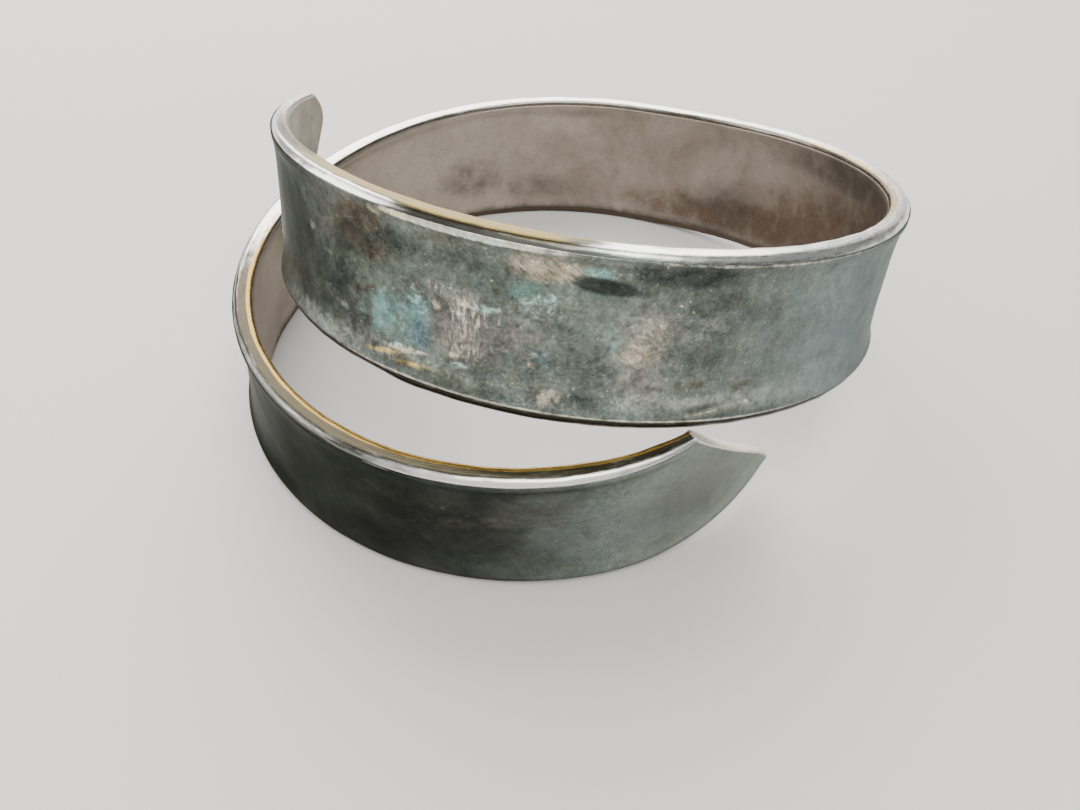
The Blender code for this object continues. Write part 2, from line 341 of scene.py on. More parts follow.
# The stage: name, place, width and power of every softbox, all facing one point; the sky,
# the floor and the camera.
LIGHTS = (
    ("back_window", (-0.05, 0.42, 0.38), 0.75, 10.0),
    ("overhead", (0.05, -0.20, 0.46), 0.36, 2.2),
    ("left_side", (-0.42, 0.02, 0.18), 0.34, 1.5),
    ("front_fill", (0.0, -0.50, 0.36), 0.90, 1.9))
LIT_POINT = (0.0, 0.0, 0.02)
SKY = (0.8, 0.83, 0.86, 1.0)
SKY_STRENGTH = 0.35
FLOOR_HALF = 4.0
FLOOR_DROP = 0.02 * MM
CAMERA_PLACE = (-1.3 * MM, -74.7 * MM, 67.65 * MM)
CAMERA_PITCH = 45.4
CAMERA_ROLL = 0.8
CAMERA_LENS = 29.1


def turned(name, description, degrees):
    """A setting for a turn along the coil."""
    return FloatProperty(name=name, description=description, default=degrees)


def length(name, description, millimetres):
    """A setting for a length."""
    return FloatProperty(name=name, description=description, unit="LENGTH",
                         default=millimetres * MM)


class BangleShape(PropertyGroup):
    """Sizes of the coil, the sheet and the two wires."""

    edge_radii: FloatVectorProperty(
        name="Edge Radii", description="Radius of the lower edge at every 60 degrees of turn",
        size=9, unit="LENGTH",
        default=[r * MM for r in (29.0, 33.5, 33.5, 29.6, 28.9, 32.1, 30.4, 28.6, 27.2)])
    outward_leans: FloatVectorProperty(
        name="Outward Leans", description="Lean of the sheet at every 60 degrees of turn",
        size=9, unit="ROTATION",
        default=[math.radians(a) for a in (2.0, 5.0, -9.0, -3.0, 5.0, 0.0, -6.0, -12.0, -5.0)])
    first_heading: FloatProperty(
        name="First Heading", description="Compass angle of the coil where its turn is zero",
        unit="ROTATION", default=math.radians(-54.5))
    plan_centre: FloatVectorProperty(
        name="Plan Centre", description="Middle of the bangle's box, seen from the coil's pole",
        size=2, unit="LENGTH", default=(-0.6 * MM, -2.3 * MM))
    rise_from: turned("Rise From", "Turn at which the coil leaves the table", 235.0)
    rise_span: turned("Rise Span", "Turn over which the coil climbs to its top", 186.0)
    rise_height: length("Rise Height", "Climb of the upper coil", 18.5)
    rise_skew: length("Rise Skew", "Extra height half way up the climb", 0.55)
    spring_until: turned("Spring Until", "Turn up to which the lower end lifts", 30.0)
    spring_height: length("Spring Height", "Lift of the lower end off the table", 2.0)
    start_turn: turned("Start Turn", "Turn of the lower end's tip", -8.5)
    start_shear: turned("Start Shear", "Turn cut away at the lower end's top", 20.0)
    end_turn: turned("End Turn", "Turn of the upper end's tip", 497.0)
    end_shear: turned("End Shear", "Turn cut away at the upper end's foot", 13.0)
    corner_turn: turned("Corner Turn", "Turn filed off the upper end's corner", 4.4)
    width_at_start: length("Width At Start", "Width over both wires at the lower end", 16.7)
    width_at_end: length("Width At End", "Width over both wires at the upper end", 15.1)
    sheet_thickness: length("Sheet Thickness", "Thickness of the sheet", 1.2)
    wire_radius: length("Wire Radius", "Nominal radius of the edge wires", 1.0)
    wire_foot: length("Wire Foot", "Height of the lower wire's middle over the table", 0.924)


def linear(hex_colour):
    """sRGB hex to linear red, green and blue."""
    channels = [int(hex_colour[i:i + 2], 16) / 255.0 for i in (1, 3, 5)]
    return [c / 12.92 if c <= 0.04045 else ((c + 0.055) / 1.055) ** 2.4 for c in channels]


def tint(name, description, hex_colour):
    """A colour setting."""
    return FloatVectorProperty(name=name, description=description, subtype="COLOR", size=3,
                               min=0.0, max=1.0, default=linear(hex_colour))


class BangleFinish(PropertyGroup):
    """Colours of the silver, its tarnish and the films on it."""

    silver: tint("Silver", "Sterling silver rubbed bright", "#f2f0ea")
    cut_silver: tint("Cut Silver", "Sawn edge of the sheet", "#f8ece0")
    dull_silver: tint("Dull Silver", "Bright silver under a thin haze", "#a9a69a")
    khaki: tint("Khaki", "Thin sulphide on the rims' crowns", "#766531")
    deep_khaki: tint("Deep Khaki", "The same where it was never rubbed", "#352e1a")
    golden: tint("Golden", "First yellow film on a rubbed corner", "#ac8a45")
    tarnish: tint("Tarnish", "Green-grey sulphide on the outside", "#7c807b")
    deep_tarnish: tint("Deep Tarnish", "Nearly black sulphide", "#2d2e2a")
    dark: tint("Dark", "Sulphide where nothing rubs it", "#2b2f2e")
    olive: tint("Olive", "Olive film", "#747662")
    green: tint("Green", "Green-grey film", "#646e65")
    brown: tint("Brown", "Brown film", "#4a3a2e")
    teal: tint("Teal", "Blue-green film", "#6a918d")
    deep_blue: tint("Deep Blue", "Blue film", "#54707f")
    steel: tint("Steel", "Thin blue-grey film", "#7b8689")
    cyan: tint("Cyan", "Glints of pale blue-green", "#afcdc9")
    mauve: tint("Mauve", "Violet-grey where the film is rubbed thin", "#7f7b75")
    scuffed: tint("Scuffed", "Silver showing pink through the film", "#c6b9aa")
    glints: tint("Glints", "Bare scratches in the scuffs", "#e6d8c8")
    scraped: tint("Scraped", "Silver showing tan through the film", "#aea18c")
    seam: tint("Seam", "Thin line rubbed bright where the sheet meets a wire", "#dcd9c6")
    gold: tint("Gold", "Gold film", "#dcc06e")
    pale: tint("Pale", "Rubbed grey", "#a2a59e")
    cream: tint("Cream", "Bare spots", "#cbbca6")
    inner_light: tint("Inner Light", "Warm grey of the inside", "#b5aba0")
    inner_warm: tint("Inner Warm", "Tan of the inside", "#80756a")
    ash: tint("Ash", "Light grey of the inside near the upper tip", "#d6d1c6")
    umber: tint("Umber", "Brown film of the inside", "#5a493d")
    # Used as a dark film and as painted shade along the foot of the inside.
    dark_film_and_shade: tint("Shade", "Dark film of the inside", "#4b4740")


# ---------------------------------------------------------------- shape of the coil


def smooth_through(values, turn):
    """Natural cubic curve through values stated every STATION_STEP degrees, read at turn."""
    values = np.array(values)
    count = len(values)
    matrix = np.eye(count)
    right_side = np.zeros(count)
    for row in range(1, count - 1):
        matrix[row, row - 1:row + 2] = (1.0, 4.0, 1.0)
        right_side[row] = 6.0 * (values[row - 1] - 2.0 * values[row] + values[row + 1])
    bend = np.linalg.solve(matrix, right_side)
    place = turn / STATION_STEP
    left = np.clip(np.floor(place).astype(int), 0, count - 2)
    after = place - left
    before = 1.0 - after
    return (before * values[left] + after * values[left + 1]
            + ((before ** 3 - before) * bend[left]
               + (after ** 3 - after) * bend[left + 1]) / 6.0)


def unit(vectors):
    """The same directions at length one."""
    return vectors / np.linalg.norm(vectors, axis=-1, keepdims=True)


def lower_line(shape, turn):
    """Centre line of the lower wire: a smooth radius about the pole, at a height that is
    flat, then a raised cosine, with a parabola where the lower end springs up."""
    radius = smooth_through(shape.edge_radii, turn)
    heading = shape.first_heading - np.radians(turn)
    rise = np.clip((turn - shape.rise_from) / shape.rise_span, 0.0, None)
    spring = np.clip((shape.spring_until - turn) / shape.spring_until, 0.0, None)
    height = (shape.rise_height * (1.0 - np.cos(np.pi * rise)) / 2.0
              + shape.rise_skew * (1.0 - np.cos(2.0 * np.pi * rise)) / 2.0
              + shape.spring_height * spring ** 2)
    return np.stack([radius * np.cos(heading) - shape.plan_centre[0],
                     radius * np.sin(heading) - shape.plan_centre[1],
                     height + shape.wire_foot], axis=-1)


def band_axes(shape, turn):
    """Unit vectors across the band, from the lower wire to the upper, and out of its face."""
    along = unit(lower_line(shape, turn + 0.1) - lower_line(shape, turn - 0.1))
    level = unit(np.stack([-along[..., 1], along[..., 0], np.zeros_like(turn)], axis=-1))
    upright = np.cross(along, level)
    lean = smooth_through(shape.outward_leans, turn)[..., None]
    across = upright * np.cos(lean) + level * np.sin(lean)
    return across, level * np.cos(lean) - upright * np.sin(lean)


def wire_spacing(shape, turn):
    """Distance between the two wires' centre lines."""
    wound = (turn - shape.start_turn) / (shape.end_turn - shape.start_turn)
    width = shape.width_at_start + (shape.width_at_end - shape.width_at_start) * wound
    return width - 2.0 * shape.wire_radius


def band_point(shape, turn, share, depth):
    """Point at a turn, a share of the way across, and a depth out of the face."""
    across, outward = band_axes(shape, turn)
    reach = (wire_spacing(shape, turn) * share)[..., None]
    return lower_line(shape, turn) + across * reach + outward * depth[..., None]


def first_turn(shape, share):
    """Turn where the sheared lower end cuts the band: a power curve of the share."""
    return shape.start_turn + shape.start_shear * np.maximum(share, 0.0) ** START_SHEAR_POWER


def last_turn(shape, share):
    """Turn where the sheared upper end cuts the band, less its filed corner."""
    corner = np.maximum(share - CORNER_FROM, 0.0) / (1.0 - CORNER_FROM)
    cut_back = shape.end_shear * np.maximum(1.0 - share, 0.0) ** END_SHEAR_POWER
    return shape.end_turn - cut_back - shape.corner_turn * corner ** 2


def length_along(shape, turn):
    """Length of the lower wire from the lower end's tip to a turn."""
    table = np.linspace(shape.start_turn - 5.0, shape.end_turn + 5.0, LENGTH_STEPS)
    steps = np.linalg.norm(np.diff(lower_line(shape, table), axis=0), axis=1)
    length = np.concatenate([[0.0], np.cumsum(steps)])
    return np.interp(turn, table, length)


# ---------------------------------------------------------------- hand work on the metal


def wander(place, wavelength, seed):
    """Smooth wandering value between about -1 and 1: a sum of sines of unlike lengths."""
    rng = np.random.default_rng(seed)
    value = np.zeros_like(place)
    for stretch in (1.0, 0.61, 0.37, 0.23):
        phase = rng.uniform(0.0, 2.0 * math.pi)
        value += stretch * np.sin(2.0 * math.pi * place / (wavelength * stretch) + phase)
    return value / 1.6


def hammer_blows(along, across, spacing, spread, depth, seed):
    """Sum of Gaussian dimples, one at a jittered place in each cell of a square lattice,
    each between a fifth of the depth and all of it."""
    rng = np.random.default_rng(seed)
    low_u, low_v = along.min() - spacing, across.min() - spacing
    count_u = int((along.max() - low_u) / spacing) + 2
    count_v = int((across.max() - low_v) / spacing) + 2
    total = np.zeros_like(along)
    for row in range(count_v):
        jitter = rng.uniform(-0.45, 0.45, (count_u, 2))
        strength = rng.uniform(0.2, 1.0, count_u)
        cell = np.clip(np.round((along - low_u) / spacing).astype(int), 1, count_u - 2)
        for shift in (-1, 0, 1):
            near = cell + shift
            du = along - (low_u + (near + jitter[near, 0]) * spacing)
            dv = across - (low_v + (row + jitter[near, 1]) * spacing)
            total += strength[near] * np.exp(-(du ** 2 + dv ** 2) / spread ** 2)
    return depth * total


def marks(shape, rows, turn, share):
    """Sum of soft tilted ellipses: exp(-(x^2 + y^2)^1.5) in each row's own lengths."""
    total = np.zeros_like(turn)
    spacing = wire_spacing(shape, turn)
    for mark_turn, mark_share, length, height, slope, strength in rows:
        along = (turn - mark_turn) * math.radians(1.0) * shape.edge_radii[6]
        across = (share - mark_share) * spacing
        tilt = math.radians(slope)
        u = (along * math.cos(tilt) - across * math.sin(tilt)) / (0.5 * length * MM)
        v = (along * math.sin(tilt) + across * math.cos(tilt)) / (0.5 * height * MM)
        total += strength * np.exp(-np.maximum(u * u + v * v, 1e-9) ** 1.5)
    return total


# ---------------------------------------------------------------- meshes


def tube_mesh(name, points, uv, attributes):
    """Closed mesh from rows of rings: points is (rows, ring, 3). Each ring closes on
    itself, and rings that have shrunk to a line or a point are welded shut."""
    rows, ring = points.shape[:2]
    low = np.arange(rows - 1)[:, None] * ring
    column = np.arange(ring)[None, :]
    after = (column + 1) % ring
    faces = np.stack([low + column, low + after, low + ring + after, low + ring + column],
                     axis=-1).reshape(-1, 4)
    mesh = bpy.data.meshes.new(name)
    mesh.vertices.add(rows * ring)
    mesh.vertices.foreach_set("co", points.reshape(-1).astype(np.float32))
    mesh.loops.add(faces.size)
    mesh.loops.foreach_set("vertex_index", faces.ravel().astype(np.int32))
    mesh.polygons.add(len(faces))
    mesh.polygons.foreach_set("loop_start", np.arange(0, faces.size, 4, dtype=np.int32))
    mesh.update(calc_edges=True)
    layer = mesh.uv_layers.new(name="strip_metres")
    corner_uv = uv.reshape(-1, 2)[faces.ravel()]
    layer.data.foreach_set("uv", corner_uv.astype(np.float32).ravel())
    for label, values in attributes.items():
        attribute = mesh.attributes.new(label, "FLOAT", "POINT")
        attribute.data.foreach_set("value", values.astype(np.float32).ravel())
    sealed = bmesh.new()
    sealed.from_mesh(mesh)
    bmesh.ops.remove_doubles(sealed, verts=sealed.verts, dist=1e-7)
    bmesh.ops.recalc_face_normals(sealed, faces=sealed.faces)
    sealed.to_mesh(mesh)
    sealed.free()
    mesh.shade_smooth()
    return mesh


def along_rows(count):
    """Progress 0 to 1, signed inset in metres and shrink factor of every row. The last
    rows close each end on a quarter of a superellipse: inset = 1 - cos^n, shrink = sin^n."""
    angle = np.radians(np.linspace(0.0, 90.0, END_ROWS))
    inset = END_ROUNDING * (1.0 - np.cos(angle) ** END_SQUARENESS)
    shrink = np.sin(angle) ** END_SQUARENESS
    middle = np.linspace(0.0, 1.0, count)[1:-1]
    progress = np.concatenate([np.zeros(END_ROWS), middle, np.ones(END_ROWS)])
    flat = np.zeros(len(middle))
    signed = np.concatenate([inset - END_ROUNDING, flat, END_ROUNDING - inset[::-1]])
    factor = np.concatenate([shrink, flat + 1.0, shrink[::-1]])
    return progress[:, None], signed[:, None], factor[:, None]


def turns_between_ends(shape, share, progress, signed):
    """Turn of every vertex: between the two sheared ends, less the rounding's reach."""
    per_metre = 1.0 / (math.radians(1.0) * MEAN_RADIUS)
    start = first_turn(shape, share) + END_ROUNDING * per_metre
    stop = last_turn(shape, share) - END_ROUNDING * per_metre
    return start + (stop - start) * progress + signed * per_metre


def beyond_cut(shape, turn, share):
    """Distance from the sawn lower end."""
    return (turn - first_turn(shape, share)) * math.radians(1.0) * shape.edge_radii[0]


def by_stops(stops, turn):
    """Value at a turn, on straight runs between stops."""
    places, values = zip(*stops)
    return np.interp(turn, places, values)


def sheet_mesh(shape):
    """The sheet: its section is a loop, up the outer face and down the inner one, carried
    along the coil. Each face is hammered, and swells in a fillet up to each wire:
    depth = half + swell * exp(-distance / width). The sawn lower end is beaten thicker."""
    spread = np.linspace(0.0, 1.0, OUTER_COLUMNS)
    spread = 0.45 * spread + 0.55 * (0.5 - 0.5 * np.cos(np.pi * spread))
    spread = np.concatenate([spread, spread[::-2]])[None, :]
    side = np.concatenate([np.ones(OUTER_COLUMNS), -np.ones(INNER_COLUMNS)])[None, :]
    progress, signed, factor = along_rows(SHEET_ROWS)
    rough_turn = shape.start_turn + (shape.end_turn - shape.start_turn) * progress
    foot = np.where(side > 0.0, FOOT_LAP * by_stops(FOOT_STOPS, rough_turn), 0.0) - FOOT_LAP
    share = foot + (1.0 + TOP_LAP - foot) * spread
    turn = turns_between_ends(shape, share, progress, signed)
    share, side, factor = (np.broadcast_to(a, turn.shape) for a in (share, side, factor))
    outside = (side > 0.0).astype(float)
    spacing = wire_spacing(shape, turn)
    along = length_along(shape, turn)
    across = spacing * share
    strip_across = across + FACE_SHIFT * (1.0 - outside)

    gap = beyond_cut(shape, turn, share)
    half = (0.5 * shape.sheet_thickness
            + BEATEN_SWELL * np.exp(-np.maximum(gap, 0.0) / BEATEN_REACH))
    fillet = np.zeros_like(turn)
    for from_wire, taper in ((across, LOWER_TAPER_STOPS),
                             (spacing - across, UPPER_TAPER_STOPS)):
        swell = np.maximum(FILLET_TOP * by_stops(taper, turn) - half, 0.0)
        width = np.where(side > 0.0, OUTER_FILLET, INNER_FILLET)
        fillet += swell * np.exp(-np.maximum(from_wire - FILLET_FROM, 0.0) / width)
    blows = (hammer_blows(along, strip_across, *FACE_BLOWS)
             + hammer_blows(along, strip_across, *FINE_BLOWS))
    off_edges = np.clip(12.0 * share * (1.0 - share), 0.0, 1.0)
    belly = np.sin(np.pi * np.clip(share, 0.0, 1.0))
    dents = marks(shape, DENTS, turn, share) * outside
    relief = blows * off_edges + dents * MM + DISH_DEPTH * belly
    ripple = RIPPLE_DEPTH * wander(along, RIPPLE_LENGTH, RIPPLE_SEED) * belly
    depth = side * factor * (half + fillet - relief) + ripple

    # Painted reflection: past turn 330 the outer face is painted paler towards its foot,
    # standing in for the floor it reflects.
    painted_floor_reflection = 0.20 * np.exp(-(share / 0.2) ** 2) * (turn > 330.0)
    attributes = {
        "inside": 1.0 - outside,
        "share": share,
        "worn_and_reflection": by_stops(WORN_AND_REFLECTION_STOPS, turn) + painted_floor_reflection,
        "inner_light": by_stops(INNER_STOPS, turn),
        "mottle": by_stops(MOTTLE_STOPS, turn) * outside + 0.35 * (1.0 - outside),
        "dent": np.maximum(dents, 0.0),
        "cut": np.exp(-(gap / CUT_WIDTH) ** 2),
    }
    for film in FILMS:
        attributes[film.name] = (marks(shape, film.rows, turn, share)
                                 * (side * film.side > 0.0))
    uv = np.stack([along, strip_across], axis=-1)
    return tube_mesh("band_sheet", band_point(shape, turn, share, depth), uv, attributes)


def wire_mesh(shape, name, edge):
    """An edge wire, hammered to facets: its ring is a soft polygon, whose radius at an
    angle is (sum over facets of max(0, cos(angle - facet) / distance)^p)^(-1/p). The
    facets are the crown, an outer bevel, the outer flank, the underside, the inner flank
    and a small inner bevel."""
    around = np.linspace(0.0, 2.0 * math.pi, WIRE_COLUMNS, endpoint=False)[None, :]
    away = 1.0 if edge > 0.5 else -1.0
    progress, signed, factor = along_rows(WIRE_ROWS)
    turn_middle = turns_between_ends(shape, np.full_like(around, edge), progress, signed)
    along = length_along(shape, turn_middle)
    seed = WIRE_SEED + int(edge)
    wobble = wander(along, 9.0 * MM, seed) + 0.5 * wander(along, 3.7 * MM, seed + 10)
    bevel = by_stops(BEVEL_STOPS, turn_middle) * (1.0 + 0.025 * wobble)
    crown = CROWN_HEIGHT * (1.0 + 0.012 * wander(along, 13.0 * MM, seed + 20))
    facets = (("crown", 0.0, np.minimum(crown, CROWN_HEIGHT)), ("bevel", 48.0, bevel),
              ("flank", 90.0, 0.97), ("under", 138.0, 0.62), ("under_in", 222.0, 0.62),
              ("inner", 270.0, 0.96), ("inner_bevel", 315.0, 1.20 + 0.03 * wobble))
    pull = {label: np.maximum(np.cos(around - math.radians(angle)) / distance, 0.0)
            ** FACET_SHARPNESS for label, angle, distance in facets}
    total = sum(pull.values())
    radius = total ** (-1.0 / FACET_SHARPNESS) * MM
    strip_across = np.broadcast_to(around * MM, along.shape)
    blows = hammer_blows(along, strip_across, *WIRE_BLOWS, seed + 30)
    radius = radius - blows * (np.cos(around) > -0.9)
    taper = by_stops(UPPER_TAPER_STOPS if edge > 0.5 else LOWER_TAPER_STOPS, turn_middle)
    high = radius * np.cos(around) * factor * taper
    wide = radius * np.sin(around) * factor * taper
    share = edge + away * high / wire_spacing(shape, turn_middle)
    turn = turns_between_ends(shape, share, progress, signed)
    attributes = {label: value / total for label, value in pull.items()}
    for label, stops in (("khaki", KHAKI_STOPS), ("bright", BRIGHT_STOPS),
                         ("gilt", GILT_STOPS), ("corner", CORNER_STOPS)):
        attributes[label] = by_stops(stops, turn)
    attributes["upper"] = np.full_like(turn, edge)
    attributes["lean"] = np.broadcast_to(radius * np.sin(around) / MM, turn.shape)
    attributes["cut"] = np.exp(-(beyond_cut(shape, turn, share) / CUT_WIDTH) ** 2)
    uv = np.stack([along, strip_across], axis=-1)
    return tube_mesh(name, band_point(shape, turn, share, wide), uv, attributes)


# ---------------------------------------------------------------- materials


def add_node(tree, kind, inputs=(), out=0, **settings):
    """Add a node, set its properties, fill its inputs with values or linked outputs, and
    return one of its outputs. inputs is the first inputs in order, or a table by name or
    number."""
    node = tree.nodes.new("ShaderNode" + kind)
    for key, value in settings.items():
        setattr(node, key, value)
    for key, value in (inputs.items() if isinstance(inputs, dict) else enumerate(inputs)):
        if isinstance(value, bpy.types.NodeSocket):
            tree.links.new(value, node.inputs[key])
        else:
            node.inputs[key].default_value = value
    return node.outputs[out]


def metal(name):
    """An empty metal material: its tree, shader, strip coordinates and object place."""
    material = bpy.data.materials.new(name)
    material.use_nodes = True
    tree = material.node_tree
    shader = tree.nodes["Principled BSDF"]
    shader.inputs["Metallic"].default_value = 1.0
    strip = add_node(tree, "UVMap", uv_map="strip_metres")
    place = add_node(tree, "TexCoord", out="Object")
    return material, tree, shader, strip, place


def covered(tree, under, amount, low, high, colour, most):
    """Cover a colour with another, from none to most as an amount climbs from low to
    high."""
    cover = add_node(tree, "MapRange", {0: amount, 1: low, 2: high, 4: most},
                     interpolation_type="SMOOTHSTEP")
    return add_node(tree, "Mix", {0: cover, 6: under, 7: (*colour, 1.0)}, out=2,
                    data_type="RGBA")


def with_tints(tree, finish, under, amounts, clouds, tints):
    """Lay a table of tints over a colour, each broken up by a cloud around its middle."""
    for amount, cloud, ragged, low, high, colour, most in tints:
        edge = add_node(tree, "Math", (clouds[cloud], ragged, amounts[amount]),
                        operation="MULTIPLY_ADD")
        under = covered(tree, under, edge, low + 0.5 * ragged, high + 0.5 * ragged,
                        getattr(finish, colour), most)
    return under


def noise_patterns(tree, strip, place):
    """The clouds that break up every film, by name. Strokes lie across the band and slants
    lie askew, as rubbing leaves them."""
    patterns = {}
    for name, size_mm, detail, roughness in CLOUDS:
        patterns[name] = add_node(
            tree, "TexNoise", {"Vector": place, "Scale": 1.0 / (size_mm * MM),
                               "Detail": detail, "Roughness": roughness,
                               "Distortion": 0.4})
    colours = add_node(tree, "SeparateColor", (patterns["patchy"].node.outputs["Color"],))
    patterns["second"] = colours.node.outputs["Green"]
    patterns["third"] = colours.node.outputs["Blue"]
    for name, degrees, stretch, size_mm in RUBBING:
        turned = add_node(tree, "Mapping",
                          {"Vector": strip, "Rotation": (0.0, 0.0, math.radians(degrees)),
                           "Scale": (stretch, 1.0, 1.0)}, vector_type="TEXTURE")
        patterns[name] = add_node(
            tree, "TexNoise", {"Vector": turned, "Scale": 1.0 / (size_mm * MM),
                               "Detail": 4.0, "Roughness": 0.75, "Distortion": 0.3})
    return patterns


def scratches(tree, strip, place, degrees, apart_mm, shift):
    """Thin long scratches in patches: a stretched noise, kept only where it crosses its
    middle and where a broad noise is high. They are drawn about twice as wide as real
    ones, so that they show."""
    turned = add_node(tree, "Mapping",
                      {"Vector": strip, "Location": (shift, shift, 0.0),
                       "Rotation": (0.0, 0.0, math.radians(degrees)),
                       "Scale": (12.0, 1.0, 1.0)}, vector_type="TEXTURE")
    cloud = add_node(tree, "TexNoise", {"Vector": turned, "Scale": 1.0 / (apart_mm * MM),
                                        "Detail": 2.0, "Roughness": 0.5,
                                        "Distortion": 0.2})
    away = add_node(tree, "Math", (cloud, 0.5, 0.006), operation="COMPARE")
    patch = add_node(tree, "TexNoise", {"Vector": place, "Scale": 1.0 / (4.0 * MM),
                                        "Detail": 2.0})
    keep = add_node(tree, "MapRange", {0: patch, 1: 0.50, 2: 0.62},
                    interpolation_type="SMOOTHSTEP")
    return add_node(tree, "Math", (away, keep), operation="MULTIPLY")


def tarnished_sheet_silver(finish):
    """Hammered sterling sheet under years of silver sulphide: green-grey and half glossy,
    with thin-film blues and golds where the layer is thinner, pink-tan scuffs where it was
    rubbed through, a nearly black first coil and a paler, warmer inside. The outer faces'
    light and dark, the nearly black first coil among them, is partly tarnish and partly
    painted reflection; the foot of the upper coil's outer face is painted paler as a
    reflection of the floor, and the foot of the inside is painted dark as shade."""
    material, tree, shader, strip, place = metal("tarnished_sheet_silver")
    add = partial(add_node, tree)
    cloud = noise_patterns(tree, strip, place)
    held = {name: add("Attribute", out="Fac", attribute_name=name)
            for name in ("inside", "share", "worn_and_reflection", "mottle", "inner_light", "dent", "cut",
                         *(film.name for film in FILMS))}
    held["everywhere"] = 0.0
    above_middle = add("Math", (held["share"], 0.5), operation="SUBTRACT")
    held["from_middle"] = add("Math", (above_middle,), operation="ABSOLUTE")
    scratch = add("Math", (scratches(tree, strip, place, 24.0, 1.0, 0.0),
                           scratches(tree, strip, place, -14.0, 1.7, 0.05)),
                  operation="MAXIMUM")
    held["scratch"] = add("Math", (scratch, held["mottle"]), operation="MULTIPLY")

    outside = with_tints(tree, finish, (*finish.deep_tarnish, 1.0), held, cloud,
                         OUTSIDE_TINTS)
    inside = with_tints(tree, finish, (*finish.inner_warm, 1.0), held, cloud, INSIDE_TINTS)
    for film in FILMS:
        swing = add("Math", (cloud[film.cloud], film.ragged, 1.0 - 0.5 * film.ragged),
                    operation="MULTIPLY_ADD")
        amount = add("Math", (held[film.name], swing), operation="MULTIPLY")
        layer = (amount, film.low, film.high, getattr(finish, film.name), film.most)
        if film.side > 0:
            outside = covered(tree, outside, *layer)
        else:
            inside = covered(tree, inside, *layer)
    outside = with_tints(tree, finish, outside, held, cloud, DENT_TINTS)
    colour = add("Mix", {0: held["inside"], 6: outside, 7: inside}, out=2,
                 data_type="RGBA")
    for name, low, high, darkest, lightest in TONES:
        tone = add("MapRange", {0: cloud[name], 1: low, 2: high, 3: darkest, 4: lightest})
        colour = add("Mix", {0: held["mottle"], 6: colour, 7: tone}, out=2,
                     data_type="RGBA", blend_type="MULTIPLY")
    colour = with_tints(tree, finish, colour, held, cloud, LAST_TINTS)
    tree.links.new(colour, shader.inputs["Base Color"])
    shader.inputs["Specular Tint"].default_value = (0.45, 0.46, 0.45, 1.0)

    roughness = add("Math", (cloud["broad"], 0.25, 0.26), operation="MULTIPLY_ADD")
    roughness = add("Math", (held["inside"], 0.14, roughness), operation="MULTIPLY_ADD")
    roughness = add("Math", (held["cut"], 0.30, roughness), operation="MULTIPLY_ADD")
    tree.links.new(roughness, shader.inputs["Roughness"])
    height = add("Math", (cloud["grain"], 0.5), operation="MULTIPLY")
    height = add("Math", (held["scratch"], -0.5, height), operation="MULTIPLY_ADD")
    height = add("Math", (cloud["patchy"], 1.4, height), operation="MULTIPLY_ADD")
    bump = add("Bump", {"Height": height, "Strength": 0.5, "Distance": 0.03 * MM})
    tree.links.new(bump, shader.inputs["Normal"])
    return material


def worn_silver_wire(finish):
    """Sterling wire hammered along the edge: rubbed bright on its outer bevel, a silver that
    also paints in the highlight; khaki sulphide on its crown, left whiter on the back and front
    right crowns as a painted highlight; a thin golden line on its inner corner; and nearly
    black on the flanks and under the band, where only the corner of the bevel is rubbed. The
    lower wire's black is partly painted shade, and its inner side is painted dark to join the
    painted shade at the inside's foot."""
    material, tree, shader, strip, place = metal("worn_silver_wire")
    add = partial(add_node, tree)
    cloud = noise_patterns(tree, strip, place)
    drawn_out = add("Mapping", {"Vector": strip, "Scale": (0.22, 1.0, 1.0)})
    streaks = add("TexNoise", {"Vector": drawn_out, "Scale": 1.0 / (0.45 * MM),
                               "Detail": 5.0, "Roughness": 0.7})
    cloud["streaks"] = streaks
    held = {name: add("Attribute", out="Fac", attribute_name=name)
            for name in ("crown", "bevel", "flank", "under", "inner", "inner_bevel",
                         "khaki", "bright", "gilt", "upper", "corner", "lean", "cut")}
    held["everywhere"] = 0.0
    held["lower"] = add("Math", (1.0, held["upper"]), operation="SUBTRACT")
    held["top"] = add("Math", (held["crown"], held["inner_bevel"]), operation="ADD")
    held["inner_corner"] = add("MapRange", {0: held["lean"], 1: -0.24, 2: -0.40})
    for name, first, *others in WIRE_PRODUCTS:
        held[name] = held[first]
        for other in others:
            held[name] = add("Math", (held[name], held[other]), operation="MULTIPLY")
    unshiny = add("Math", (held["bevel"], held["shiny"]), operation="SUBTRACT")
    unrubbed = add("Math", (unshiny, 0.30, held["crown"]), operation="MULTIPLY_ADD")
    held["hazy"] = add("Math", (unrubbed, held["khaki"]), operation="MULTIPLY")
    held["dull"] = add("Math", (held["khaki"], -0.35, unshiny), operation="MULTIPLY_ADD")

    colour = with_tints(tree, finish, (*finish.deep_tarnish, 1.0), held, cloud, WIRE_TINTS)
    tree.links.new(colour, shader.inputs["Base Color"])
    roughness = add("Math", (streaks, 0.25, 0.14), operation="MULTIPLY_ADD")
    roughness = add("Math", (held["cut"], 0.35, roughness), operation="MULTIPLY_ADD")
    tree.links.new(roughness, shader.inputs["Roughness"])
    height = add("Math", (cloud["fine"], 0.6, streaks), operation="MULTIPLY_ADD")
    bump = add("Bump", {"Height": height, "Strength": 0.35, "Distance": 0.03 * MM})
    tree.links.new(bump, shader.inputs["Normal"])
    return material


# ---------------------------------------------------------------- operators


def put_on_bangle(mesh, material, slot, *nodes):
    """Link a finished mesh that rides on the bangle and stands for CAD nodes."""
    mesh.materials.append(material)
    piece = bpy.data.objects.new(mesh.name, mesh)
    bpy.context.scene.collection.objects.link(piece)
    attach(piece, "root")
    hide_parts(*nodes)


